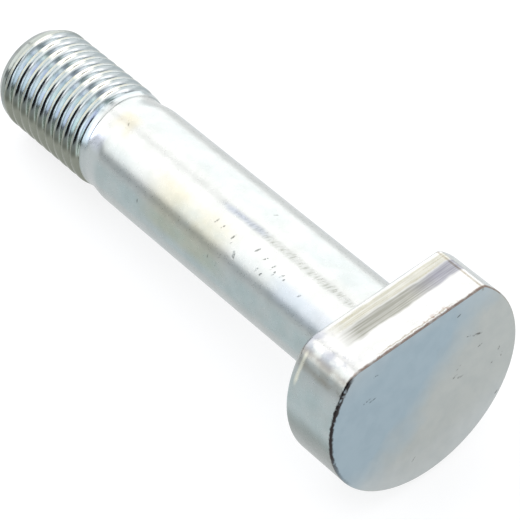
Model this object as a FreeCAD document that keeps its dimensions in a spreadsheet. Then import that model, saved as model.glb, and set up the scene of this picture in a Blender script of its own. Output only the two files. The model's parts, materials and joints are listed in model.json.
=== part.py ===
# Sprocket bolt: a forged and thread-rolled steel bolt whose round head has one flat side.
# The bolt is drawn along its own axis: local Z runs from the head to the threaded tip, the
# head's bearing face is at zero and the flat side faces local X. Its Placement lays it down,
# flat side up, on the rim of the head and the last full turns of the thread.
# World +Z is up, and all sizes are millimetres.
import FreeCAD, Part
import math
import os
import Sketcher

doc = FreeCAD.newDocument("SprocketBolt")

# Driving sizes
SIZES = {
    # Head, a thick disc with one side cut flat
    "head_diameter": 19.7,
    "head_thickness": 5.7,
    "flat_distance": 7.0,  # from the bolt's axis to the flat side
    # The flat side's two corners, as seen from the head's outer face with the flat side up. It
    # was trimmed across, so one is rolled over and the other is nearly sharp.
    "left_corner_radius": 2.4,
    "right_corner_radius": 0.8,
    "face_bevel": 0.15,
    "bearing_bevel": 0.4,
    "under_head_radius": 0.5,
    # Shank and neck
    "shank_diameter": 9.8,
    "bolt_length": 47.3,  # from the bearing face to the tip
    "neck_step": 0.27,  # how far the neck lies below the shank's surface
    "neck_length": 0.3,
    "neck_cone_length": 1.6,
    # Thread, M10 x 1.25 rolled a little under its nominal diameter
    "thread_diameter": 10.0,
    "thread_pitch": 1.25,
    "flank_angle": 30.0,  # of each flank, in degrees
    "crest_allowance": 0.15,  # on the diameter
    "thread_length": 10.8,  # full turns, from the tip
    "runout_length": 2.3,  # where the grooves fade towards the neck
    "groove_lead": 0.735,  # the groove starts this far beyond the tip, over the flat side
    "groove_clearance": 0.06,  # how far the groove's section stands out of the crest
    # Point, a short cone that ends just below the bottom of the grooves
    "point_length": 0.9,
    "point_drop": 0.05,
}

# Radii and heights along the axis that follow from the driving sizes
DERIVED = {
    "head_radius": "Sizes.head_diameter / 2",
    "head_far_side": "-head_radius",
    "face_level": "-Sizes.head_thickness",
    "shank_radius": "Sizes.shank_diameter / 2",
    "neck_radius": "shank_radius - Sizes.neck_step",
    "crest_radius": "(Sizes.thread_diameter - Sizes.crest_allowance) / 2",
    "thread_depth": "17 / 24 * sqrt(3) / 2 * Sizes.thread_pitch",  # of the basic profile
    "root_radius": "Sizes.thread_diameter / 2 - thread_depth",
    "point_radius": "root_radius - Sizes.point_drop",
    "point_start": "Sizes.bolt_length - Sizes.point_length",
    "full_thread": "Sizes.bolt_length - Sizes.thread_length",
    "runout_start": "full_thread - Sizes.runout_length",
    "neck_end": "runout_start + Sizes.neck_length",
    "neck_start": "runout_start - Sizes.neck_length",
    "cone_start": "neck_start - Sizes.neck_cone_length",
    # The threaded end's foot is a cone that starts inside the shank and comes out of the neck
    # where the run-out begins, so that the grooves leave it inside the stem. It is never wider
    # than the crests.
    "foot_level": "cone_start - Sizes.thread_pitch",
    "foot_slope": "(crest_radius - neck_radius) / Sizes.runout_length",
    "foot_cone": "neck_radius - foot_slope * (runout_start - foot_level)",
    "foot_radius": "min(foot_cone; crest_radius)",
    # The groove's section is the metric thread's: seven eighths of a pitch wide at the nominal
    # diameter, and narrower towards its bottom.
    "groove_level": "Sizes.bolt_length + Sizes.groove_lead",
    "groove_reach": "groove_level - foot_level + Sizes.thread_pitch",
    "mouth_radius": "crest_radius + Sizes.groove_clearance",
    "flank_slope": "tan(Sizes.flank_angle * 1 deg)",
    "root_half": "7 / 16 * Sizes.thread_pitch - thread_depth * flank_slope",
    "mouth_half": "root_half + (mouth_radius - root_radius) * flank_slope",
    "root_top": "groove_level + root_half",
    "root_bottom": "groove_level - root_half",
    "mouth_top": "groove_level + mouth_half",
    "mouth_bottom": "groove_level - mouth_half",
}


def filled_sheet(name, cells):
    """A spreadsheet with one row a size: its words, its value and the value's alias."""
    sheet = doc.addObject("Spreadsheet::Sheet", name)
    for row, (alias, content) in enumerate(cells.items(), start=1):
        sheet.set(f"A{row}", alias.replace("_", " "))
        sheet.set(f"B{row}", content)
        sheet.setAlias(f"B{row}", alias)
    doc.recompute()
    return sheet


sizes = filled_sheet("Sizes", {alias: str(value) for alias, value in SIZES.items()})
derived = filled_sheet("Derived", {alias: "=" + text for alias, text in DERIVED.items()})

body = doc.addObject("PartDesign::Body", "Bolt")
body.Label = "sprocket_bolt"


def value_of(alias):
    """A size in millimetres, or a slope, from either sheet."""
    sheet = sizes if alias in SIZES else derived
    return float(sheet.get(alias))


def outline(name, role, corners):
    """A closed sketch of straight lines on one of the body's own planes.

    Each corner is a pair of aliases, or None for zero, and its dimensions are bound to them.
    """
    sketch = body.newObject("Sketcher::SketchObject", name)
    plane = next(f for f in body.Origin.OriginFeatures if f.Role == role)
    sketch.AttachmentSupport = [(plane, "")]
    sketch.MapMode = "FlatFace"
    points = [
        FreeCAD.Vector(*[value_of(alias) if alias else 0.0 for alias in corner], 0)
        for corner in corners
    ]
    for start, end in zip(points, points[1:] + points[:1]):
        sketch.addGeometry(Part.LineSegment(start, end), False)
    for side in range(len(corners)):
        following = (side + 1) % len(corners)
        sketch.addConstraint(Sketcher.Constraint("Coincident", side, 2, following, 1))
    for side, (across, along) in enumerate(corners):
        for kind, axis, alias in (("DistanceX", -2, across), ("DistanceY", -1, along)):
            if alias is None:
                sketch.addConstraint(Sketcher.Constraint("PointOnObject", side, 1, axis))
                continue
            distance = Sketcher.Constraint(kind, -1, 1, side, 1, value_of(alias))
            number = sketch.addConstraint(distance)
            sheet = "Sizes" if alias in SIZES else "Derived"
            sketch.setExpression(f"Constraints[{number}]", f"{sheet}.{alias}")
    return sketch


def turned(name, corners):
    """Adds an outline, turned all the way round the bolt's axis."""
    sketch = outline(name + "Outline", "XZ_Plane", corners)
    feature = body.newObject("PartDesign::Revolution", name)
    feature.Profile = sketch
    feature.ReferenceAxis = (sketch, ["V_Axis"])
    feature.Angle = 360
    doc.recompute()


def eased(name, kind, measure, alias, wanted):
    """Rounds or bevels those edges of the body so far for which the test is true."""
    base = body.Tip
    edges = enumerate(base.Shape.Edges, start=1)
    feature = body.newObject(kind, name)
    feature.Base = (base, [f"Edge{number}" for number, edge in edges if wanted(edge)])
    feature.setExpression(measure, f"Sizes.{alias}")
    doc.recompute()


def rounded(name, radius, wanted):
    """Rounds the wanted edges."""
    eased(name, "PartDesign::Fillet", "Radius", radius, wanted)


def bevelled(name, size, wanted):
    """Bevels the wanted edges."""
    eased(name, "PartDesign::Chamfer", "Size", size, wanted)


# Threaded end
turned(
    "ThreadedEnd",
    [
        (None, "foot_level"),
        ("foot_radius", "foot_level"),
        ("crest_radius", "full_thread"),
        ("crest_radius", "point_start"),
        ("point_radius", "bolt_length"),
        (None, "bolt_length"),
    ],
)

# Helical groove, right-handed, cut from beyond the tip down past the foot
groove = outline(
    "GrooveSection",
    "XZ_Plane",
    [
        ("root_radius", "root_bottom"),
        ("mouth_radius", "mouth_bottom"),
        ("mouth_radius", "mouth_top"),
        ("root_radius", "root_top"),
    ],
)
thread = body.newObject("PartDesign::SubtractiveHelix", "Thread")
thread.Profile = groove
thread.ReferenceAxis = (groove, ["V_Axis"])
thread.Mode = "pitch-height-angle"
thread.setExpression("Pitch", "Sizes.thread_pitch")
thread.setExpression("Height", "Derived.groove_reach")
thread.LeftHanded = False
thread.Reversed = True
doc.recompute()

# Head, shank and neck. The stem's nose is a slender cone inside the threaded end: it fills the
# grooves more and more towards the neck, which is how a rolled thread runs out.
turned(
    "Stem",
    [
        (None, "face_level"),
        ("head_radius", "face_level"),
        ("head_radius", None),
        ("shank_radius", None),
        ("shank_radius", "cone_start"),
        ("neck_radius", "neck_start"),
        ("neck_radius", "neck_end"),
        ("point_radius", "full_thread"),
        (None, "full_thread"),
    ],
)

# Flat side of the head, through its whole thickness
stem_volume = body.Shape.Volume
flat_outline = outline(
    "FlatSideOutline",
    "XY_Plane",
    [
        ("flat_distance", "head_far_side"),
        ("head_radius", "head_far_side"),
        ("head_radius", "head_radius"),
        ("flat_distance", "head_radius"),
    ],
)
flat_side = body.newObject("PartDesign::Pocket", "FlatSide")
flat_side.Profile = flat_outline
flat_side.setExpression("Length", "Sizes.head_thickness")
doc.recompute()
if stem_volume - body.Shape.Volume < 1:
    raise RuntimeError("the flat side cuts nothing")

# Rounded corners and bevelled edges of the head, and the fillet under it
NEAR = 1e-4


def lies_at(edge, height):
    """True for an edge that lies square to the bolt's axis at a height."""
    box = edge.BoundBox
    return abs(box.ZMin - height) < NEAR and abs(box.ZMax - height) < NEAR


def is_head_corner(edge):
    """True for an edge, along the axis, where the flat side meets the rim."""
    box = edge.BoundBox
    along_axis = box.XLength + box.YLength < NEAR
    return along_axis and abs(box.XMin - value_of("flat_distance")) < NEAR


def is_left_corner(edge):
    """True for the head's corner on the left."""
    return is_head_corner(edge) and edge.BoundBox.YMin < 0


def is_right_corner(edge):
    """True for the head's corner on the right."""
    return is_head_corner(edge) and edge.BoundBox.YMin > 0


def is_face_edge(edge):
    """True for the edge all round the head's outer face."""
    return lies_at(edge, value_of("face_level"))


def is_under_head(edge):
    """True for the circle where the shank meets the bearing face."""
    return lies_at(edge, 0) and abs(edge.BoundBox.XMin + value_of("shank_radius")) < NEAR


def is_bearing_edge(edge):
    """True for the edge all round the bearing face."""
    return lies_at(edge, 0) and not is_under_head(edge)


rounded("LeftCorner", "left_corner_radius", is_left_corner)
rounded("RightCorner", "right_corner_radius", is_right_corner)
bevelled("FaceEdge", "face_bevel", is_face_edge)
bevelled("BearingEdge", "bearing_bevel", is_bearing_edge)
rounded("UnderHead", "under_head_radius", is_under_head)

# Laying the bolt down. The floor touches the rim where its bevel starts and the end of the full
# crest, and the axis falls towards the tip by the angle between those two.
rim_radius = value_of("head_radius")
bevel = value_of("bearing_bevel")
drop = rim_radius - value_of("crest_radius")
lie = math.atan2(drop, value_of("point_start") + bevel)
height = rim_radius * math.cos(lie) - bevel * math.sin(lie)

# The world's origin is on the floor under the middle of the bolt's length.
face_radius = rim_radius - value_of("face_bevel")
head_end = value_of("face_level") * math.cos(lie) - face_radius * math.sin(lie)
tip_end = value_of("bolt_length") * math.cos(lie) + value_of("point_radius") * math.sin(lie)
half_way = math.pi / 4 + lie / 2
turning_axis = FreeCAD.Vector(math.sin(half_way), 0, math.cos(half_way))
body.Placement = FreeCAD.Placement(
    FreeCAD.Vector(-(head_end + tip_end) / 2, 0, height),
    FreeCAD.Rotation(turning_axis, 180),
)
doc.recompute()

# Checks, then the part's file
for item in doc.Objects:
    if "Invalid" in item.State or "Error" in item.State:
        raise RuntimeError(f"{item.Name} failed: {item.State}")
if body.Shape.isNull() or not body.Shape.isValid() or len(body.Shape.Solids) != 1:
    raise RuntimeError("the bolt is not one valid solid")
os.makedirs("parts", exist_ok=True)
body.Shape.exportStep(f"parts/{body.Label}.step")
print(f"{body.Label}: {body.Shape.Volume:.1f} mm3, lies at {math.degrees(lie):.3f} degrees")
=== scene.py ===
# Sprocket bolt: how the forged and thread-rolled steel bolt looks, built around its CAD model
import json
import math

import bmesh
import bpy
import numpy as np
from mathutils import Matrix, Vector


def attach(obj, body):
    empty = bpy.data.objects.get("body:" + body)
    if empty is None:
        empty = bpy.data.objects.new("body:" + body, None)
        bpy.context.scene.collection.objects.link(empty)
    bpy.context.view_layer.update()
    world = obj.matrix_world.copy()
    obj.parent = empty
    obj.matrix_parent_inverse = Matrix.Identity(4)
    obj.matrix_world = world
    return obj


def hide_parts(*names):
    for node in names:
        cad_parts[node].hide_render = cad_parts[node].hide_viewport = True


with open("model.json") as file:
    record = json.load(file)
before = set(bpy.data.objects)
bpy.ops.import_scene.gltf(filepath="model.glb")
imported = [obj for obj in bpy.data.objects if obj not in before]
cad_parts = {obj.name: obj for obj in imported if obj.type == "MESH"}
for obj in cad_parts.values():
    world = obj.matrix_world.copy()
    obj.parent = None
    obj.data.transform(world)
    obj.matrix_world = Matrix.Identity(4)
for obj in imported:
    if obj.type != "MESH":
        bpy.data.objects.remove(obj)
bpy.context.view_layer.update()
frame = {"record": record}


# Camera
# The photograph looks down on the head's outer face and its flat side, from behind the head, so
# the shank runs away from the camera to the upper left.
AIM = Vector((-0.00999, 0.00368, 0.01492))
AZIMUTH, ELEVATION, ROLL = (math.radians(angle) for angle in (143.657, 50.850, -3.778))
CAMERA_DISTANCE, NEAREST_SEEN = 0.240, 0.01
FOCAL_LENGTH, SENSOR_WIDTH = 204.7, 36.0  # millimetres


def way(azimuth, elevation=0.0):
    """The direction at an azimuth from +X and at an elevation, both in radians."""
    level_share = math.cos(elevation)
    x, y = level_share * math.cos(azimuth), level_share * math.sin(azimuth)
    return Vector((x, y, math.sin(elevation)))


def new_object(name, data):
    """A new object in the scene."""
    thing = bpy.data.objects.new(name, data)
    bpy.context.scene.collection.objects.link(thing)
    return thing


camera = new_object("camera", bpy.data.cameras.new("camera"))
camera.data.sensor_width = SENSOR_WIDTH
camera.data.lens = FOCAL_LENGTH
camera.data.clip_start = NEAREST_SEEN
towards_camera = way(AZIMUTH, ELEVATION)
camera.location = AIM + towards_camera * CAMERA_DISTANCE
upright = towards_camera.to_track_quat("Z", "Y").to_matrix()
camera.rotation_euler = (upright @ Matrix.Rotation(ROLL, 3, "Z")).to_euler()
bpy.context.scene.camera = camera


# Bench and light
# A white bench in a grey room with one dark corner, lit by eight panels round and over it and one
# that lies on it. The metal shows the narrow gap between the two panels beyond the tip as a line
# along the shank, and the dark corner as the black lines beside the thread's crests.
ROOM_GREY, CORNER_DARK = (0.37, 0.385, 0.40, 1.0), (0.012, 0.013, 0.014, 1.0)
CORNER_AZIMUTH, CORNER_ELEVATION = math.radians(115), math.radians(25)
CORNER_REACH, CORNER_FADE = math.radians(34), math.radians(9)
BENCH_WHITE, BENCH_HALF_SIZE = (0.22, 0.228, 0.235, 1.0), 4.0
BENCH_GLOW = 0.80  # what camera and metal see besides the lit bench, which makes it plain white
PANEL_DISTANCE = 0.50
PLAIN_WHITE, WARM_WHITE, COOL_WHITE = (1.0, 1.0, 1.0), (1.0, 0.95, 0.94), (0.80, 0.91, 1.0)
PANELS = {  # bearings of the upright edges, heights of the lower and upper edge, radiance, colour
    "panel_left": (-7.0, 60.0, 0.133, 1.05, 2.1, WARM_WHITE),
    "panel_right": (-78.0, -9.9, 0.002, 0.74, 2.1, WARM_WHITE),
    "panel_top": (-24.0, 8.0, 0.84, 1.25, 1.9, WARM_WHITE),
    "panel_side": (60.5, 77.0, 0.07, 0.80, 1.7, COOL_WHITE),
    "panel_low": (150.0, 199.0, 0.004, 0.20, 1.05, COOL_WHITE),
    "panel_back": (165.0, 207.0, 0.28, 0.85, 1.7, WARM_WHITE),
    "panel_far": (207.5, 268.0, 0.004, 0.60, 1.35, WARM_WHITE),
}
OVERHEAD_HEIGHT, OVERHEAD_SIZE, OVERHEAD_RADIANCE = 0.75, 0.60, 1.40
LYING_BEARING, LYING_DISTANCE, LYING_HEIGHT = math.radians(306), 0.26, 0.001
LYING_SIZE, LYING_RADIANCE = 0.22, 1.35
NUMBER_RESULTS = ("DOT_PRODUCT", "LENGTH")  # the steps on vectors that give a number


def add_node(tree, kind, inputs=None, **settings):
    """Adds a node. An input given as a socket is linked, and any other is set."""
    node = tree.nodes.new(kind)
    for name, value in settings.items():
        setattr(node, name, value)
    for name, value in (inputs or {}).items():
        if isinstance(value, bpy.types.NodeSocket):
            tree.links.new(value, node.inputs[name])
        else:
            node.inputs[name].default_value = value
    return node


def reckon(tree, operation, *values):
    """One step of arithmetic on sockets or numbers."""
    inputs = dict(enumerate(values))
    return add_node(tree, "ShaderNodeMath", inputs, operation=operation).outputs[0]


def reckon_vectors(tree, operation, *vectors):
    """One step of arithmetic on vectors."""
    inputs = dict(enumerate(vectors))
    node = add_node(tree, "ShaderNodeVectorMath", inputs, operation=operation)
    return node.outputs["Value" if operation in NUMBER_RESULTS else "Vector"]


def ramp(tree, value, start, end, low=0.0, high=1.0, kind="LINEAR"):
    """A value's ramp from low to high between start and end, level beyond them."""
    inputs = {"Value": value, "From Min": start, "From Max": end, "To Min": low, "To Max": high}
    return add_node(tree, "ShaderNodeMapRange", inputs, interpolation_type=kind).outputs[0]


def blend(tree, share, first, second, kind="MIX"):
    """Two colours mixed by a share from 0, all the first, to 1."""
    inputs = {0: share, 6: first, 7: second}
    return add_node(tree, "ShaderNodeMix", inputs, data_type="RGBA", blend_type=kind).outputs[2]


room = bpy.data.worlds.new("room")
room.use_nodes = True
room_tree = room.node_tree
looking = add_node(room_tree, "ShaderNodeTexCoord").outputs["Generated"]
corner_way = way(CORNER_AZIMUTH, CORNER_ELEVATION)
nearness = reckon_vectors(room_tree, "DOT_PRODUCT", looking, corner_way)
fade_start, fade_end = math.cos(CORNER_REACH + CORNER_FADE), math.cos(CORNER_REACH)
corner = ramp(room_tree, nearness, fade_start, fade_end, kind="SMOOTHSTEP")
room_colour = blend(room_tree, corner, ROOM_GREY, CORNER_DARK)
room_tree.links.new(room_colour, room_tree.nodes["Background"].inputs["Color"])
bpy.context.scene.world = room


def hang_panel(name, place, back, width, height, radiance, colour=PLAIN_WHITE):
    """A light panel whose back faces a given way. Metal sees it, and the camera doesn't."""
    lamp = bpy.data.lights.new(name, "AREA")
    lamp.shape = "RECTANGLE"
    lamp.size, lamp.size_y = width, height
    lamp.energy = radiance * math.pi * width * height
    lamp.color = colour
    panel = new_object(name, lamp)
    panel.location = place
    panel.rotation_euler = back.to_track_quat("Z", "Y").to_euler()
    panel.visible_camera = False


for name, (from_bearing, to_bearing, bottom, top, radiance, panel_colour) in PANELS.items():
    outwards = way(math.radians((from_bearing + to_bearing) / 2))
    half_spread = math.radians((to_bearing - from_bearing) / 2)
    place = outwards * PANEL_DISTANCE + Vector((0.0, 0.0, (bottom + top) / 2))
    width = 2 * PANEL_DISTANCE * math.tan(half_spread)
    hang_panel(name, place, outwards, width, top - bottom, radiance, panel_colour)
overhead = Vector((0.0, 0.0, OVERHEAD_HEIGHT))
hang_panel("panel_overhead", overhead, overhead, OVERHEAD_SIZE, OVERHEAD_SIZE, OVERHEAD_RADIANCE)
lying = way(LYING_BEARING) * LYING_DISTANCE + Vector((0.0, 0.0, LYING_HEIGHT))
downwards = Vector((0.0, 0.0, -1.0))
hang_panel("panel_lying", lying, downwards, LYING_SIZE, LYING_SIZE, LYING_RADIANCE)

bench_skin = bpy.data.materials.new("white_bench")
bench_skin.use_nodes = True
bench_tree = bench_skin.node_tree
bench_tree.nodes.clear()
rays = add_node(bench_tree, "ShaderNodeLightPath").outputs
seen = reckon(bench_tree, "MAXIMUM", rays["Is Camera Ray"], rays["Is Glossy Ray"])
seen = reckon(bench_tree, "MAXIMUM", seen, rays["Is Transmission Ray"])
strength = reckon(bench_tree, "MULTIPLY", seen, BENCH_GLOW)
matt = add_node(bench_tree, "ShaderNodeBsdfDiffuse", {"Color": BENCH_WHITE})
glow = add_node(bench_tree, "ShaderNodeEmission", {"Strength": strength})
both = add_node(bench_tree, "ShaderNodeAddShader", {0: matt.outputs[0], 1: glow.outputs[0]})
add_node(bench_tree, "ShaderNodeOutputMaterial", {"Surface": both.outputs[0]})

bench_mesh = bpy.data.meshes.new("bench")
bench_shape = bmesh.new()
bmesh.ops.create_grid(bench_shape, x_segments=1, y_segments=1, size=BENCH_HALF_SIZE)
bench_shape.to_mesh(bench_mesh)
bench_shape.free()
bench_mesh.materials.append(bench_skin)
bench = new_object("bench", bench_mesh)


# How the bolt lies
# The bolt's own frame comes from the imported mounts. Bolt coordinates are millimetres in it: x is
# up towards the flat side, y across to the right as seen from the head, and z the level along the
# axis towards the tip, from the bearing face.
MILLIMETRE = 0.001
UNDER_HEAD_TO_SHANK_MIDDLE = 16.4  # from the bearing face to the middle of the plain shank
mounts = {mount["name"]: mount for mount in frame["record"]["mounts"]}
along = Vector(mounts["shank"]["axis"]).normalized()
flat_way = Vector(mounts["locking_flat"]["axis"]).normalized()
laid = Matrix((flat_way, along.cross(flat_way), along)).transposed().to_4x4()
from_bearing_face = along * UNDER_HEAD_TO_SHANK_MIDDLE * MILLIMETRE
laid.translation = Vector(mounts["shank"]["pos_m"]) - from_bearing_face
laid = laid @ Matrix.Scale(MILLIMETRE, 4)

# The sizes that the finish and the shape share
HEAD_THICKNESS, SHANK_RADIUS, PITCH = 5.7, 4.9, 1.25
FIRST_CREST = 32.32  # a crest's level straight above the flat side, before the neck


# Zinc-plated steel
# Bright zinc over forged and rolled steel, passivated to a thin bluish film: satin on the shank,
# more matt on the outer face, and bright on the thread with duller crests. The shear left
# streaking drag marks and a brown edge on the flat side, the upset a smudged left corner, and
# handling small nicks. Much of the colour is painted light: painted highlights along the top, on
# the rim at the left corner, on the neck and on the thread, a painted reflection and highlight on
# the outer face, and painted shade on the left side, on the rim's lower side and below the left
# corner, in the flat side's streaks, on the thread, and as a black shadow along the outer face's
# edge.
COOL_ZINC, PALE_ZINC = (0.395, 0.437, 0.437, 1.0), (0.430, 0.457, 0.450, 1.0)
# Painted shade for the left side, then for the rim's lower side
SHADE_SIDE_ZINC, RIM_SHADE = (0.365, 0.435, 0.440, 1.0), (0.62, 0.63, 0.605, 1.0)
# A painted highlight along the top, then the flat side's own zinc
TOP_HIGHLIGHT, FLAT_PALE = (0.455, 0.478, 0.468, 1.0), (0.475, 0.492, 0.485, 1.0)
# A painted bluish reflection for the outer face's left part and the face's own grey, then a
# painted highlight for its edge
FACE_REFLECTION_BLUE, FACE_GREY = (0.325, 0.410, 0.460, 1.0), (0.430, 0.455, 0.440, 1.0)
FACE_HIGHLIGHT = (0.50, 0.53, 0.53, 1.0)
MOTTLE_GREY, FACE_MOTTLE = (0.86, 0.87, 0.86, 1.0), (0.86, 0.88, 0.90, 1.0)
# The thread's colours: the blue, the lower part's olive and the flanks' olive, teal, grey and dark
# tints are painted shade, and the crests' and flanks' pale colours are painted highlights; one
# grey also darkens the thread towards its crests
THREAD_ZINC, THREAD_UNDERSIDE_SHADE = (0.60, 0.67, 0.65, 1.0), (0.240, 0.255, 0.215, 1.0)
THREAD_VIOLET, THREAD_PALE = (0.59, 0.62, 0.68, 1.0), (0.54, 0.575, 0.59, 1.0)
THREAD_SHADE_BLUE, TIP_GREEN = (0.76, 0.80, 0.85, 1.0), (0.25, 0.28, 0.262, 1.0)
SHOULDER_AND_SHADE_GREY, CREST_TAN = (0.36, 0.41, 0.42, 1.0), (0.33, 0.345, 0.29, 1.0)
CREST_HIGHLIGHT, FLANK_SHADE_OLIVE = (0.88, 0.88, 0.79, 1.0), (0.42, 0.50, 0.46, 1.0)
FLANK_HIGHLIGHT, FLANK_SHADE_TEAL = (0.66, 0.71, 0.73, 1.0), (0.64, 0.69, 0.70, 1.0)
FLANK_SHADE_GREY, FLANK_SHADE = (0.62, 0.64, 0.67, 1.0), (0.50, 0.52, 0.51, 1.0)
NECK_HIGHLIGHT_GREY, NECK_HIGHLIGHT = (0.42, 0.46, 0.46, 1.0), (0.66, 0.71, 0.79, 1.0)
STREAK_GREY, STREAK_VIOLET = (0.43, 0.43, 0.38, 1.0), (0.40, 0.40, 0.47, 1.0)
FLAT_CREAM, YELLOW_FILM = (0.68, 0.66, 0.55, 1.0), (0.985, 0.93, 0.80, 1.0)
CORNER_LILAC, CORNER_SHADE = (0.60, 0.62, 0.71, 1.0), (0.76, 0.69, 0.62, 1.0)
CORNER_HIGHLIGHT, LILAC_FILM = (0.74, 0.74, 0.62, 1.0), (0.91, 0.93, 1.0, 1.0)
EDGE_BROWN, EDGE_SHADOW = (0.20, 0.15, 0.125, 1.0), (0.032, 0.028, 0.028, 1.0)
EDGE_OLIVE, EDGE_TAN = (0.30, 0.30, 0.25, 1.0), (0.56, 0.51, 0.43, 1.0)
LINE_GREY, LINE_LILAC = (0.68, 0.69, 0.65, 1.0), (0.78, 0.81, 0.92, 1.0)
NICK_GREY, RUST = (0.28, 0.27, 0.25, 1.0), (0.58, 0.42, 0.36, 1.0)
COVER, TINT = "MIX", "MULTIPLY"  # a layer hides the colour below it, or tints it

# Roughness, and heights and depths of the relief in millimetres
SATIN, SATIN_MATT, FACE_MATT = 0.27, 0.30, 0.36
THREAD_BRIGHT, CREST_DULL, STREAK_DULL, NICK_DULL = 0.17, 0.30, 0.34, 0.5
SWELL_HEIGHT, HEAD_SWELL_HEIGHT, PEEL_HEIGHT, DRAG_HEIGHT = 0.022, 0.020, 0.0022, 0.010
LINE_DEPTH, NICK_DEPTH = 0.006, 0.020

ANGLES = {  # degrees from the flat side's direction, to the right from the head: ends, softness
    "left_side": (-90.0, -62.0, 5.0),
    "top_left": (-34.0, 1.0, 6.0),
    "top_right": (30.0, 48.0, 5.0),
    "rim_below_left": (-150.0, -84.0, 6.0),
    "left_corner": (-50.0, -37.0, 2.5),
    "below_corner": (-57.0, -47.0, 2.0),
    "corner_highlight": (-66.0, -50.0, 3.0),
    "edge_shadow": (-118.0, -46.0, 3.0),
    "edge_brown": (-50.0, 60.0, 2.0),
    "neck_left": (-95.0, -50.0, 9.0),
    "neck_top": (-52.0, -31.0, 8.0),
    "thread_shade": (-36.0, -12.0, 6.0),
    "thread_right_shade": (30.0, 46.0, 4.0),
    "thread_dark_shade": (-80.0, -52.0, 5.0),
    "crest_highlight": (-7.0, 14.0, 5.0),
}
SHANK_PATCHES = {  # the same for angles, and then for levels
    "lilac": (-54.0, -32.0, 5.0, 0.5, 9.0, 1.5),
    "yellow": (-78.0, -24.0, 7.0, 15.5, 25.0, 2.0),
    "yellow_end": (-24.0, 2.0, 5.0, 30.8, 33.2, 0.5),
}
# Painted highlights and painted shade on the thread's flanks
FLANK_PATCHES = {  # the same for angles, and then for distances past the crest, towards the tip
    "olive": (-78.0, -62.0, 4.0, -0.53, -0.34, 0.04),
    "highlight_left": (-57.0, -24.0, 5.0, -0.42, -0.24, 0.04),
    "teal": (-8.0, 6.0, 4.0, -0.55, -0.36, 0.05),
    "highlight_right": (12.0, 27.0, 4.0, -0.57, -0.30, 0.05),
    "grey": (27.0, 36.0, 3.0, -0.55, -0.38, 0.05),
}
FACE_NICKS = [  # place up and across, turn from level in degrees, half length, half width
    (2.17, 5.75, -20, 0.70, 0.15),
    (2.57, 5.03, -12, 0.50, 0.11),
    (-1.34, 3.65, -8, 0.55, 0.12),
    (-0.93, 3.14, 20, 0.35, 0.11),
    (-0.18, 3.61, 30, 0.40, 0.10),
    (-1.11, 7.88, 60, 0.30, 0.08),
    (-2.04, 8.09, 70, 0.40, 0.09),
    (0.69, 5.97, 10, 0.35, 0.08),
    (-2.24, 6.98, 25, 0.35, 0.08),
    (5.61, 4.11, 15, 0.35, 0.09),
    (5.29, -4.58, 0, 0.35, 0.10),
    (3.17, -5.84, 12, 0.60, 0.09),
    (2.91, -5.22, 5, 0.50, 0.08),
    (-6.05, 7.27, 30, 0.30, 0.09),
    (-7.18, -1.93, 40, 0.45, 0.08),
]
SHANK_NICKS = [  # level, angle from the flat side's direction, turn from level, half sizes
    (17.5, -29, -22, 0.35, 0.09),
    (16.6, -30, -30, 0.30, 0.08),
    (15.1, -31, -20, 0.40, 0.09),
    (14.9, -37, -35, 0.25, 0.07),
    (12.3, -26, -32, 0.40, 0.10),
    (11.1, -28, -38, 0.35, 0.08),
    (10.0, -30, -25, 0.45, 0.10),
    (9.6, -34, -15, 0.35, 0.10),
    (8.7, -30, -34, 0.45, 0.10),
    (8.4, -33, -28, 0.25, 0.07),
    (11.3, -42, -25, 0.30, 0.08),
    (10.7, -43, -30, 0.25, 0.08),
    (14.1, -45, 20, 0.40, 0.20),
    (15.5, -66, 10, 0.35, 0.14),
    (16.6, -63, -5, 0.30, 0.12),
    (26.3, -68, 5, 0.30, 0.08),
    (6.2, -35, -30, 0.25, 0.07),
    (14.1, 15, -25, 0.35, 0.07),
    (31.6, -12, 20, 0.40, 0.14),
]

zinc = bpy.data.materials.new("zinc_plated_steel")
zinc.use_nodes = True
zinc_tree = zinc.node_tree
shader = zinc_tree.nodes["Principled BSDF"]
centre, turning, scale = laid.inverted().decompose()
spot = add_node(
    zinc_tree,
    "ShaderNodeMapping",
    {
        "Vector": add_node(zinc_tree, "ShaderNodeTexCoord").outputs["Object"],
        "Location": centre,
        "Rotation": turning.to_euler(),
        "Scale": scale,
    },
).outputs[0]


def step(operation, *values):
    """One step of arithmetic on the zinc's masks and measures."""
    return reckon(zinc_tree, operation, *values)


def fade(measure, start, end, low=0.0, high=1.0):
    """A mask that goes from low to high between start and end of a measure."""
    return ramp(zinc_tree, measure, start, end, low, high)


def band(measure, start, end, soft):
    """One between start and end and zero beyond them, with soft edges."""
    begun = ramp(zinc_tree, measure, start - soft, start + soft, kind="SMOOTHSTEP")
    left = ramp(zinc_tree, measure, end - soft, end + soft, 1.0, 0.0, kind="SMOOTHSTEP")
    return step("MULTIPLY", begun, left)


def both_of(*masks):
    """Where all the masks are, or a mask made weaker by a number."""
    product = masks[0]
    for mask in masks[1:]:
        product = step("MULTIPLY", product, mask)
    return product


def patch(limits, measure):
    """Where a range of angles and a range of another measure meet."""
    return both_of(band(angle, *limits[:3]), band(measure, *limits[3:]))


def grain(spots, detail=3.0, stretch=(1.0, 1.0, 1.0), place=spot):
    """Noise from 0 to 1, of about so many spots a millimetre, closer where stretch is over 1."""
    mapping = {"Vector": place, "Scale": stretch}
    stretched = add_node(zinc_tree, "ShaderNodeMapping", mapping).outputs[0]
    inputs = {"Vector": stretched, "Scale": spots, "Detail": detail}
    return add_node(zinc_tree, "ShaderNodeTexNoise", inputs).outputs[0]


def shifted(measure, noise, reach):
    """A measure moved to and fro by noise, so that the marks laid by it have uneven edges."""
    return step("MULTIPLY_ADD", step("SUBTRACT", noise, 0.5), reach, measure)


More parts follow.
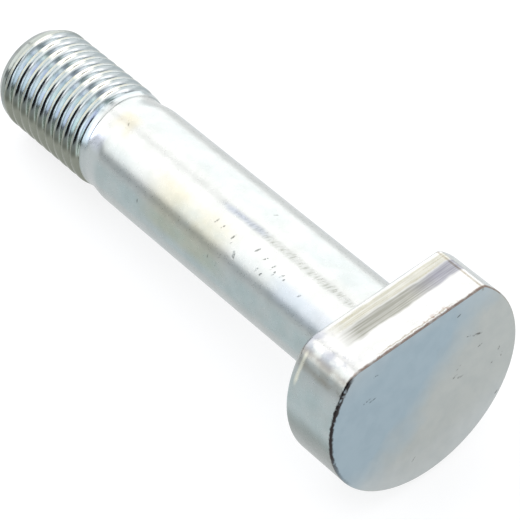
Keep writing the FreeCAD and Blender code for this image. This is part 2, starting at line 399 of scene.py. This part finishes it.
def layered(base, layers):
    """A colour under layers, each a mask, a colour, and whether it covers or tints."""
    for mask, coat, kind in layers:
        base = blend(zinc_tree, mask, base, coat, kind)
    return base


up, across, level = add_node(zinc_tree, "ShaderNodeSeparateXYZ", {0: spot}).outputs
from_axis = step("MULTIPLY_ADD", up, up, step("MULTIPLY", across, across))
from_axis = step("SQRT", from_axis)
angle = step("DEGREES", step("ARCTAN2", across, up))
cloud, speckle, peel = grain(0.22, 4.0), grain(4.0, 1.0), grain(1.5, 1.0)
forged, swell = grain(0.55, 3.0), grain(0.38, 0.0)
around = {name: band(angle, *limits) for name, limits in ANGLES.items()}

# Nicks: each is a short stroke, darker and sunk a little
nick_tree = bpy.data.node_groups.new("handling_nick", "ShaderNodeTree")
for name in ("Place", "Middle", "Way"):
    nick_tree.interface.new_socket(name, socket_type="NodeSocketVector")
for name in ("Half Length", "Half Width"):
    nick_tree.interface.new_socket(name, socket_type="NodeSocketFloat")
nick_tree.interface.new_socket("Mask", in_out="OUTPUT", socket_type="NodeSocketFloat")
given = add_node(nick_tree, "NodeGroupInput").outputs
offset = reckon_vectors(nick_tree, "SUBTRACT", given["Place"], given["Middle"])
run = reckon_vectors(nick_tree, "DOT_PRODUCT", offset, given["Way"])
length = reckon_vectors(nick_tree, "LENGTH", offset)
length_squared = reckon(nick_tree, "POWER", length, 2.0)
side = reckon(nick_tree, "SUBTRACT", length_squared, reckon(nick_tree, "MULTIPLY", run, run))
side = reckon(nick_tree, "SQRT", reckon(nick_tree, "MAXIMUM", side, 0.0))
run = reckon(nick_tree, "DIVIDE", run, given["Half Length"])
side = reckon(nick_tree, "DIVIDE", side, given["Half Width"])
side_squared = reckon(nick_tree, "MULTIPLY", side, side)
away = reckon(nick_tree, "SQRT", reckon(nick_tree, "MULTIPLY_ADD", run, run, side_squared))
nick_mask = ramp(nick_tree, away, 0.5, 1.0, 1.0, 0.0, "SMOOTHSTEP")
add_node(nick_tree, "NodeGroupOutput", {"Mask": nick_mask})

nicks = []
for raised, sideways, slant, half_length, half_width in FACE_NICKS:
    slant = math.radians(slant)
    middle = (raised, sideways, -HEAD_THICKNESS)
    nicks.append((middle, (math.sin(slant), math.cos(slant), 0.0), half_length, half_width))
for nick_level, bearing, slant, half_length, half_width in SHANK_NICKS:
    bearing, slant = math.radians(bearing), math.radians(slant)
    middle = (SHANK_RADIUS * math.cos(bearing), SHANK_RADIUS * math.sin(bearing), nick_level)
    round_it = math.cos(slant)
    nick_way = (-math.sin(bearing) * round_it, math.cos(bearing) * round_it, math.sin(slant))
    nicks.append((middle, nick_way, half_length, half_width))
nicked = 0.0
for middle, nick_way, half_length, half_width in nicks:
    nick = add_node(zinc_tree, "ShaderNodeGroup", node_tree=nick_tree)
    zinc_tree.links.new(spot, nick.inputs["Place"])
    nick.inputs["Middle"].default_value = middle
    nick.inputs["Way"].default_value = nick_way
    nick.inputs["Half Length"].default_value = half_length
    nick.inputs["Half Width"].default_value = half_width
    nicked = step("MAXIMUM", nicked, nick.outputs["Mask"])
nicked = both_of(nicked, fade(grain(5.0, 2.0), 0.42, 0.58))

# Where each finish is
on_face = fade(level, -5.60, -5.68)
on_head = fade(level, 0.3, 0.0)
on_flat = both_of(fade(up, 6.72, 6.88), band(level, -5.50, -0.30, 0.06))
on_rim = both_of(fade(level, 0.2, -0.1), fade(from_axis, 8.2, 8.6))
on_corner = both_of(on_rim, around["left_corner"], band(level, -5.45, -0.15, 0.15))
on_right_edge = both_of(on_rim, band(across, 6.62, 6.82, 0.06), fade(up, 6.5, 6.7))
before_thread = fade(level, 34.8, 34.5)
# Painted light on the cone at the neck: a lighter grey on its left and a pale blue highlight on
# top
on_neck_left = both_of(fade(level, 32.0, 32.9), around["neck_left"], before_thread)
on_neck_top = both_of(fade(level, 32.2, 33.1), around["neck_top"], before_thread)
on_thread = both_of(fade(level, 34.55, 34.95), fade(level, 47.28, 47.25))
on_crest = both_of(fade(from_axis, 4.908, 4.922), on_thread)

# Streaks and a cream band on the flat side. The streaks are partly drag marks that the shear left
# across it and partly painted shade for the darker room that the flat side reflects.
wander = shifted(level, grain(0.5, 2.0), 0.5)
drag = grain(1.0, 4.0, (1.0, 0.14, 7.0))
streak_broken, streak_end = fade(drag, 0.36, 0.58, 0.60, 1.0), fade(across, -5.4, -3.4)
streak = both_of(band(wander, -3.05, -1.55, 0.18), streak_broken, streak_end, on_flat)
cream_broken, cream_end = fade(drag, 0.35, 0.62, 0.35, 1.0), fade(across, -5.6, -3.6)
cream = both_of(band(wander, -1.45, -0.50, 0.12), cream_broken, cream_end, on_flat)

# A rough line along the shank, made of short slanting strokes
LINE_ANGLE, STROKE_SLANT = -10.0, math.radians(35)
round_about = step("MULTIPLY", step("SUBTRACT", angle, LINE_ANGLE), math.radians(SHANK_RADIUS))
unrolled = add_node(zinc_tree, "ShaderNodeCombineXYZ", {0: round_about, 1: level}).outputs[0]
slanting = {"Vector": unrolled, "Rotation": (0.0, 0.0, STROKE_SLANT)}
slanted = add_node(zinc_tree, "ShaderNodeMapping", slanting).outputs[0]
hatch = fade(grain(1.0, 2.0, (1.5, 6.0, 1.0), slanted), 0.44, 0.60, 0.12, 1.0)
off_line = step("ABSOLUTE", shifted(round_about, grain(0.35, 2.0), 0.7))
along_line = both_of(fade(off_line, 0.08, 0.42, 1.0, 0.0), fade(from_axis, 5.2, 5.1))
line_thins = fade(level, 19.0, 12.0, 0.12, 1.0)
rough_line = both_of(hatch, along_line, band(level, 1.6, 22.0, 0.8), line_thins)
lilac_part = both_of(band(level, 12.8, 18.0, 1.0), fade(forged, 0.3, 0.5, 0.4, 1.0))
lilac_line = both_of(along_line, lilac_part)

# The zinc of head and shank, with a painted highlight along the top, and painted shade on the left
# side and on the rim's lower side
mottled = fade(grain(0.75, 2.0), 0.40, 0.66)
# Painted shade on the left side, broken up by noise
shaded_side = both_of(around["left_side"], fade(forged, 0.30, 0.60, 0.4, 1.0))
blank_colour = layered(
    blend(zinc_tree, fade(cloud, 0.35, 0.65), COOL_ZINC, PALE_ZINC),
    [
        (shaded_side, SHADE_SIDE_ZINC, COVER),
        (around["top_left"], TOP_HIGHLIGHT, COVER),
        (around["top_right"], TOP_HIGHLIGHT, COVER),
        (on_flat, FLAT_PALE, COVER),
        (both_of(mottled, 0.5), MOTTLE_GREY, TINT),
        # painted shade on the rim's lower side
        (both_of(on_rim, around["rim_below_left"]), RIM_SHADE, TINT),
    ],
)

# The outer face: a painted bluish reflection towards its left corner, grey away from it, and a
# painted highlight near its edge, strongest at the bottom
face_side = shifted(step("MULTIPLY_ADD", up, -1.1, across), grain(0.35, 4.0), 7.0)
towards_edge = shifted(from_axis, forged, 3.5)
highlight_ends = step("MAXIMUM", fade(up, -3.5, -7.0), fade(up, 4.0, 6.6, 0.0, 0.5))
face_colour = layered(
    blend(zinc_tree, fade(face_side, -1.8, 3.4), FACE_REFLECTION_BLUE, FACE_GREY),
    [
        (both_of(fade(towards_edge, 5.8, 9.2), highlight_ends, 0.75), FACE_HIGHLIGHT, COVER),
        (both_of(mottled, 0.45), FACE_MOTTLE, TINT),
    ],
)

# The thread, with wear along its crests and darker towards them, and with painted light: painted
# highlights on the crests and flanks near the top, and painted shade on its lower part and on its
# flanks at the top, to the left and to the right
past_crest = step("MULTIPLY_ADD", angle, -PITCH / 360, step("SUBTRACT", level, FIRST_CREST))
past_crest = step("WRAP", past_crest, PITCH / 2, -PITCH / 2)
flank = {name: patch(limits, past_crest) for name, limits in FLANK_PATCHES.items()}
worn = both_of(on_crest, fade(speckle, 0.35, 0.60, 0.45, 1.0))
headward_crest = both_of(fade(from_axis, 4.74, 4.84), fade(past_crest, 0.12, 0.04))
dark_end = step("SUBTRACT", past_crest, fade(angle, -68.0, -58.0, 0.04, -0.18))
dark_flank = both_of(fade(dark_end, 0.06, -0.06), fade(past_crest, -0.40, -0.28))
on_tip = both_of(fade(level, 45.9, 46.1), fade(forged, 0.30, 0.60, 0.75, 1.0))
thread_colour = layered(
    blend(zinc_tree, fade(grain(0.7, 2.0), 0.40, 0.62), THREAD_ZINC, THREAD_VIOLET),
    [
        (fade(across, -1.5, 1.8), THREAD_PALE, COVER),
        # painted shade on the thread's upper left
        (around["thread_shade"], THREAD_SHADE_BLUE, TINT),
        # painted shade, a dark teal dash along the flanks at the top
        (flank["teal"], FLANK_SHADE_TEAL, TINT),
        # darker towards the crests
        (fade(from_axis, 4.60, 4.78), SHOULDER_AND_SHADE_GREY, COVER),
        (worn, CREST_TAN, COVER),
        # a painted highlight on the crests' head side near the top
        (both_of(around["crest_highlight"], headward_crest), CREST_HIGHLIGHT, COVER),
        # painted highlights on the flanks, left and right of the top
        (flank["highlight_left"], FLANK_HIGHLIGHT, COVER),
        (flank["highlight_right"], FLANK_HIGHLIGHT, COVER),
        # painted shade on the thread's right side
        (both_of(around["thread_right_shade"], 0.6), SHOULDER_AND_SHADE_GREY, COVER),
        # painted shade in spots on the right flanks
        (flank["grey"], FLANK_SHADE_GREY, TINT),
        # painted shade on the thread's lower part
        (fade(up, 2.6, 1.2), THREAD_UNDERSIDE_SHADE, COVER),
        # painted shade on the lower left flanks
        (flank["olive"], FLANK_SHADE_OLIVE, COVER),
        # painted shade in dark bands beside the crests on the left
        (both_of(around["thread_dark_shade"], dark_flank), FLANK_SHADE, TINT),
        (on_tip, TIP_GREEN, COVER),
    ],
)

# Marks that the forging, the shear and the plating left, with painted shade in the flat side's
# streaks and below the left corner, and a painted highlight on the rim at the left corner
streak_colour = blend(zinc_tree, fade(across, 2.0, 5.0), STREAK_GREY, STREAK_VIOLET)
smudged = fade(grain(0.8, 4.0), 0.44, 0.60)
# Painted shade: a browner, darker band on the rim below the left corner
below_corner = both_of(on_rim, around["below_corner"], fade(level, -5.62, -5.56))
below_corner = both_of(below_corner, fade(grain(0.8, 2.0), 0.32, 0.58, 0.35, 1.0))
# A painted highlight: a cream stroke on the rim at the left corner, near the bearing face
corner_highlight = both_of(on_rim, around["corner_highlight"], band(wander, -0.98, -0.68, 0.12))
on_shank = {name: patch(limits, level) for name, limits in SHANK_PATCHES.items()}
yellow = step("MAXIMUM", on_shank["yellow"], on_shank["yellow_end"])
marked_colour = layered(
    blank_colour,
    [
        (on_face, face_colour, COVER),
        (on_thread, thread_colour, COVER),
        (streak, streak_colour, TINT),
        (cream, FLAT_CREAM, TINT),
        (both_of(on_corner, smudged, 0.8), CORNER_LILAC, TINT),
        (below_corner, CORNER_SHADE, TINT),
        (both_of(corner_highlight, 0.65), CORNER_HIGHLIGHT, COVER),
        (on_shank["lilac"], LILAC_FILM, TINT),
        (both_of(yellow, fade(cloud, 0.25, 0.5)), YELLOW_FILM, TINT),
        (rough_line, LINE_GREY, TINT),
        (lilac_line, LINE_LILAC, TINT),
        (on_neck_left, NECK_HIGHLIGHT_GREY, COVER),
        (on_neck_top, NECK_HIGHLIGHT, COVER),
    ],
)

# The edge round the outer face: brown along the flat side, and from the left corner down a black
# painted shadow, the shadow of a burr along the edge
uneven = grain(2.6, 4.0)
ragged = shifted(level, uneven, 0.40)
ragged_rim = shifted(from_axis, uneven, 0.45)
ragged_rim = step("ADD", ragged_rim, fade(angle, -74.0, -54.0, 0.0, 0.20))
edge = both_of(fade(ragged, -5.46, -5.58), fade(level, -5.698, -5.69))
edge_tan = both_of(on_flat, band(ragged, -5.40, -5.27, 0.04), band(across, -3.6, 3.6, 0.8), 0.8)
right_tan = both_of(on_right_edge, fade(uneven, 0.35, 0.60, 0.35, 0.9))
rusty = both_of(band(across, 0.6, 4.6, 0.6), fade(level, -4.9, -5.5), on_flat)
rusty = both_of(rusty, fade(grain(2.4, 3.0), 0.52, 0.62), 0.9)
from_left_corner = step("ABSOLUTE", step("ADD", angle, 45.0))
far_round = fade(from_left_corner, 80.0, 90.0)
edge_olive = both_of(edge, far_round, fade(grain(1.4, 3.0), 0.35, 0.60, 0.2, 0.9))
brown_broken = fade(grain(1.1, 3.0), 0.30, 0.50, 0.35, 0.9)
edge_brown = both_of(around["edge_brown"], edge, brown_broken)
edge_or_rim = step("MAXIMUM", edge, both_of(on_face, fade(ragged_rim, 9.55, 9.70)))
black_thins = fade(angle, -112.0, -92.0, 0.35, 1.0)
black_broken = fade(grain(1.6, 2.0), 0.30, 0.42, 0.3, 1.0)
edge_shadow = both_of(around["edge_shadow"], edge_or_rim, black_thins, black_broken)
whole_colour = layered(
    marked_colour,
    [
        (edge_tan, EDGE_TAN, TINT),
        (rusty, RUST, TINT),
        (right_tan, EDGE_TAN, TINT),
        (edge_olive, EDGE_OLIVE, COVER),
        (edge_brown, EDGE_BROWN, COVER),
        (edge_shadow, EDGE_SHADOW, COVER),
        (both_of(nicked, fade(level, -1.0, 1.0, 0.8, 0.5)), NICK_GREY, TINT),
    ],
)
zinc_tree.links.new(whole_colour, shader.inputs["Base Color"])

roughness = fade(speckle, 0.3, 0.7, SATIN, SATIN_MATT)
for mask, rough in (
    (on_face, FACE_MATT),
    (on_thread, THREAD_BRIGHT),
    (on_crest, CREST_DULL),
    (streak, STREAK_DULL),
    (nicked, NICK_DULL),
):
    inputs = {0: mask, 2: roughness, 3: rough}
    roughness = add_node(zinc_tree, "ShaderNodeMix", inputs, data_type="FLOAT").outputs[0]
zinc_tree.links.new(roughness, shader.inputs["Roughness"])
shader.inputs["Metallic"].default_value = 1.0

relief = step("MULTIPLY", peel, PEEL_HEIGHT)
for mark, raised in (
    (swell, SWELL_HEIGHT),
    (both_of(grain(0.5, 1.0), on_head), HEAD_SWELL_HEIGHT),
    (both_of(drag, on_flat), DRAG_HEIGHT),
    (rough_line, -LINE_DEPTH),
    (nicked, -NICK_DEPTH),
):
    relief = step("MULTIPLY_ADD", mark, raised, relief)
bump = {"Height": relief, "Distance": MILLIMETRE, "Strength": 1.0}
normal = add_node(zinc_tree, "ShaderNodeBump", bump).outputs[0]
zinc_tree.links.new(normal, shader.inputs["Normal"])


# Rolled thread
# The thread is rolled, so its crests and roots are smooth and rounded, more so on the crests' side
# towards the head. It is one strip a pitch wide that winds round the axis from the neck to the
# tip. Its grooves fade at the neck and on the cone of the tip.
AROUND = 160  # points round the bolt
TURNS = 13
CREST_RADIUS, ROOT_RADIUS = 4.925, 4.233
POINT_RADIUS, NECK_RADIUS = 4.45, 4.63
JOIN, TIP = 34.1, 47.3  # the levels where the strip meets the neck, and where the bolt ends
FLANK_ANGLE = math.radians(30)  # between a flank and the plane square to the axis
ROUNDING_CHANGE = 0.04  # the share of a pitch in which the crest's rounding changes
THREAD_WELD = 0.0008

THREAD_SIZES = {
    "Pitch": PITCH,
    "Turns": float(TURNS),
    "First Crest": FIRST_CREST,
    "Join": JOIN,
    "Tip": TIP,
    "Crest Radius": CREST_RADIUS,
    "Crest Half Width": 0.19,
    "Root Radius": ROOT_RADIUS,
    "Flank Slope": 1 / math.tan(FLANK_ANGLE),
    "Crest Rounding": 0.07,
    "Crest Rounding to Head": 0.42,
    "Root Rounding": 0.16,
    "Neck Radius": NECK_RADIUS,
    "Rise Start": 34.2,
    "Rise End": 35.7,
    "Grooves Start": 34.6,
    "Grooves Full": 35.8,
    "Point Radius": POINT_RADIUS,
    "Last Round Crest": 45.0,
    "Point Start": 46.35,
    "End Floor Start": 46.0,
    "End Floor Radius": 4.75,
    "End Floor End": 46.3,
}
THREAD_COUNTS = {"Points Along": AROUND * TURNS + 1, "Points Across": 36}

thread_tree = bpy.data.node_groups.new("rolled_thread", "GeometryNodeTree")
thread_tree.interface.new_socket("Geometry", in_out="OUTPUT", socket_type="NodeSocketGeometry")
for name in THREAD_SIZES:
    thread_tree.interface.new_socket(name, socket_type="NodeSocketFloat")
for name in THREAD_COUNTS:
    thread_tree.interface.new_socket(name, socket_type="NodeSocketInt")
thread_tree.interface.new_socket("Material", socket_type="NodeSocketMaterial")
size = add_node(thread_tree, "NodeGroupInput").outputs


def wind(operation, *values):
    """One step of arithmetic on the strip's measures."""
    return reckon(thread_tree, operation, *values)


def level_ramp(start, end, low, high):
    """A ramp from low to high between two levels along the axis, all four named sizes."""
    return ramp(thread_tree, strip_level, size[start], size[end], size[low], size[high])


strip = add_node(
    thread_tree,
    "GeometryNodeMeshGrid",
    {
        "Size X": size["Turns"],
        "Size Y": 1.0,
        "Vertices X": size["Points Along"],
        "Vertices Y": size["Points Across"],
    },
)
position = add_node(thread_tree, "GeometryNodeInputPosition").outputs[0]
on_strip = add_node(thread_tree, "ShaderNodeSeparateXYZ", {0: position}).outputs
turn = wind("MULTIPLY_ADD", size["Turns"], 0.5, on_strip["X"])
pitches = wind("ADD", turn, on_strip["Y"])
strip_level = wind("MULTIPLY_ADD", pitches, size["Pitch"], size["First Crest"])
strip_level = wind("MINIMUM", wind("MAXIMUM", strip_level, size["Join"]), size["Tip"])

# The section of crest, flank and root
from_crest = wind("MULTIPLY", wind("ABSOLUTE", on_strip["Y"]), size["Pitch"])
beside_crest = wind("SUBTRACT", from_crest, size["Crest Half Width"])
down_flank = wind("MULTIPLY", beside_crest, size["Flank Slope"])
to_head = level_ramp("Last Round Crest", "Point Start", "Crest Rounding to Head", "Crest Rounding")
rounding = ramp(
    thread_tree, on_strip["Y"], -ROUNDING_CHANGE, 0.0, to_head, size["Crest Rounding"]
)
radius = wind("SUBTRACT", size["Crest Radius"], down_flank)
radius = wind("SMOOTH_MIN", size["Crest Radius"], radius, rounding)
radius = wind("SMOOTH_MAX", size["Root Radius"], radius, size["Root Rounding"])

# What holds the section in at the neck and the tip, and what fills its grooves there
rise = level_ramp("Rise Start", "Rise End", "Neck Radius", "Crest Radius")
point = level_ramp("Point Start", "Tip", "Crest Radius", "Point Radius")
nose = level_ramp("Grooves Start", "Grooves Full", "Neck Radius", "Root Radius")
end_floor = level_ramp("End Floor Start", "End Floor End", "Root Radius", "End Floor Radius")
radius = wind("MINIMUM", radius, wind("MINIMUM", rise, point))
radius = wind("MAXIMUM", radius, wind("MAXIMUM", nose, wind("MINIMUM", end_floor, point)))

turned = wind("MULTIPLY", turn, 2 * math.pi)
wound = {
    "X": wind("MULTIPLY", radius, wind("COSINE", turned)),
    "Y": wind("MULTIPLY", radius, wind("SINE", turned)),
    "Z": strip_level,
}
wound = add_node(thread_tree, "ShaderNodeCombineXYZ", wound).outputs[0]
for kind, inputs in (
    ("GeometryNodeSetPosition", {"Position": wound}),
    ("GeometryNodeMergeByDistance", {"Distance": THREAD_WELD}),
    ("GeometryNodeRealizeInstances", {}),
    ("GeometryNodeSetMaterial", {"Material": size["Material"]}),
):
    strip = add_node(thread_tree, kind, {0: strip.outputs[0], **inputs})
add_node(thread_tree, "NodeGroupOutput", {"Geometry": strip.outputs[0]})

maker = new_object("thread_maker", bpy.data.meshes.new("thread_maker"))
roller = maker.modifiers.new("rolled_thread", "NODES")
roller.node_group = thread_tree
thread_values = {**THREAD_SIZES, **THREAD_COUNTS, "Material": zinc}
for item in thread_tree.interface.items_tree:
    if item.in_out == "INPUT":
        roller[item.identifier] = thread_values[item.name]
rolled = maker.evaluated_get(bpy.context.evaluated_depsgraph_get())
thread_mesh = bpy.data.meshes.new_from_object(rolled)
bpy.data.objects.remove(maker)


# Head, shank and neck
# The forged blank: a thick round head with one trimmed flat side, a plain shank and a short cone
# down to the neck. The flat side's left corner is rolled over, and its right one is nearly sharp.
# It is one piece with the thread.
HEAD_RADIUS, FLAT_DISTANCE = 9.85, 7.0
LEFT_CORNER, RIGHT_CORNER = 2.4, 0.8
FACE_ROUNDING, BEARING_ROUNDING, UNDER_HEAD_RADIUS = 0.15, 0.4, 0.5
CONE_START, NECK_START, NECK_MIDDLE = 32.3, 33.9, 34.0
CONE_BEND, NECK_BEND = 0.05, 0.02  # how softly the cone meets the shank and the neck
DIP, DIP_LEVEL, DIP_HALF_WIDTH = 0.05, -2.3, 0.7  # a shallow hollow across the flat side
DIP_FADE = 0.25  # radians from the flat side's ends in which the hollow reaches its depth
CORNER_BEARING, CORNER_SPREAD = math.radians(45.5), math.radians(7)
CORNER_DENSITY = 5.0  # how much closer the points stand round the flat side's two corners
LEAST_COSINE = 0.3  # keeps the flat side's radius finite far round the rim, where it isn't used
FINE_POINTS = 3601
CONE_LEVELS = np.linspace(NECK_START + 0.05, CONE_START - 1.2, 24)
SHANK_LEVELS = np.linspace(30.3, 1.0, 20)
RIM_LEVELS = np.linspace(-0.7, -5.4, 18)
QUARTER_TURN = np.radians(np.linspace(0, 90, 9))
FACE_RINGS, TIP_RINGS = (0.93, 0.8, 0.6, 0.4, 0.2), (1.0, 0.97, 0.7, 0.4, 0.15)
SEAM_WELD, SLIVER = 0.0015, 0.0001
SHARP_ANGLE = math.radians(40)

even = np.arange(AROUND) * 2 * math.pi / AROUND
fine = np.linspace(-math.pi, math.pi, FINE_POINTS)
near_corner = np.exp(-(((np.abs(fine) - CORNER_BEARING) / CORNER_SPREAD) ** 2))
density = 1 + CORNER_DENSITY * near_corner
share = np.concatenate(([0], np.cumsum((density[1:] + density[:-1]) / 2)))
share /= share[-1]
crowded = np.interp(np.mod(even / (2 * math.pi) + 0.5, 1.0), share, fine)

corner_radius = np.where(crowded < 0, LEFT_CORNER, RIGHT_CORNER)
corner_up = FLAT_DISTANCE - corner_radius
corner_across = np.sqrt((HEAD_RADIUS - corner_radius) ** 2 - corner_up**2)


def points_round(angles, radii, height):
    """Points round the axis at a level."""
    heights = np.full(AROUND, height)
    return np.stack([radii * np.cos(angles), radii * np.sin(angles), heights], axis=1)


def ring(height, radius):
    """A circle about the axis."""
    return points_round(even, radius, height)


def head_row(height, inset, dip=0.0):
    """The head's outline at a level, moved inwards, with the flat side sunk a little more."""
    side = np.abs(crowded)
    nearest = np.cos(side) * corner_up + np.sin(side) * corner_across
    reach = (corner_radius - inset) ** 2 - corner_up**2 - corner_across**2 + nearest**2
    corner = nearest + np.sqrt(np.maximum(reach, 0))
    flat = (FLAT_DISTANCE - inset) / np.maximum(np.cos(side), LEAST_COSINE)
    flat_end = np.arctan2(corner_across, FLAT_DISTANCE - inset)
    corner_end = np.arctan2(corner_across, corner_up)
    beyond_flat = np.where(side < corner_end, corner, HEAD_RADIUS - inset)
    radii = np.where(side < flat_end, flat, beyond_flat)
    sunk = np.clip((flat_end - side) / DIP_FADE, 0, 1)
    return points_round(crowded, radii - dip * sunk * sunk * (3 - 2 * sunk), height)


rows = [ring(JOIN, NECK_RADIUS), ring(NECK_MIDDLE, NECK_RADIUS)]
slope = (SHANK_RADIUS - NECK_RADIUS) / (NECK_START - CONE_START)
for height in CONE_LEVELS:
    cone = NECK_RADIUS + (NECK_START - height) * slope
    neck_side = 0.5 * (cone + NECK_RADIUS + math.hypot(cone - NECK_RADIUS, NECK_BEND))
    bend = math.hypot(neck_side - SHANK_RADIUS, CONE_BEND)
    rows.append(ring(height, 0.5 * (neck_side + SHANK_RADIUS - bend)))
for height in SHANK_LEVELS:
    rows.append(ring(height, SHANK_RADIUS))
for turn in QUARTER_TURN:
    height = UNDER_HEAD_RADIUS * (1 - math.sin(turn))
    rows.append(ring(height, SHANK_RADIUS + UNDER_HEAD_RADIUS * (1 - math.cos(turn))))
for turn in QUARTER_TURN:
    height = -BEARING_ROUNDING * (1 - math.cos(turn))
    rows.append(head_row(height, BEARING_ROUNDING * (1 - math.sin(turn))))
for height in RIM_LEVELS:
    dip = DIP * math.exp(-(((height - DIP_LEVEL) / DIP_HALF_WIDTH) ** 2))
    rows.append(head_row(height, 0.0, dip))
for turn in QUARTER_TURN:
    height = -HEAD_THICKNESS + FACE_ROUNDING * (1 - math.sin(turn))
    rows.append(head_row(height, FACE_ROUNDING * (1 - math.cos(turn))))
face_edge = rows[-1]
for part in FACE_RINGS:
    rows.append(np.column_stack([face_edge[:, :2] * part, face_edge[:, 2]]))
tip_rows = [ring(TIP, POINT_RADIUS * part) for part in TIP_RINGS]

shape = bmesh.new()
shape.from_mesh(thread_mesh)
bpy.data.meshes.remove(thread_mesh)


def skin(rows, pole):
    """Faces between rows of points, closed with a fan at the last row."""
    corners = [[shape.verts.new(point) for point in row] for row in rows]
    last = shape.verts.new(pole)
    for upper, lower in zip(corners, corners[1:]):
        for here in range(AROUND):
            beside = (here + 1) % AROUND
            shape.faces.new((upper[here], upper[beside], lower[beside], lower[here]))
    for here in range(AROUND):
        shape.faces.new((corners[-1][here], corners[-1][(here + 1) % AROUND], last))


skin(rows, (0.0, 0.0, -HEAD_THICKNESS))
skin(tip_rows, (0.0, 0.0, TIP))
bmesh.ops.remove_doubles(shape, verts=shape.verts, dist=SEAM_WELD)
bmesh.ops.dissolve_degenerate(shape, edges=shape.edges, dist=SLIVER)
bmesh.ops.recalc_face_normals(shape, faces=shape.faces)
for face in shape.faces:
    face.smooth = True
bolt_mesh = bpy.data.meshes.new("bolt")
shape.to_mesh(bolt_mesh)
shape.free()
bolt_mesh.transform(laid)
bolt_mesh.set_sharp_from_angle(angle=SHARP_ANGLE)
bolt_mesh.materials.clear()
bolt_mesh.materials.append(zinc)

bolt = new_object("bolt", bolt_mesh)
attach(bolt, "root")
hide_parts("sprocket_bolt")


# Finished
bpy.context.scene.view_settings.view_transform = "Standard"
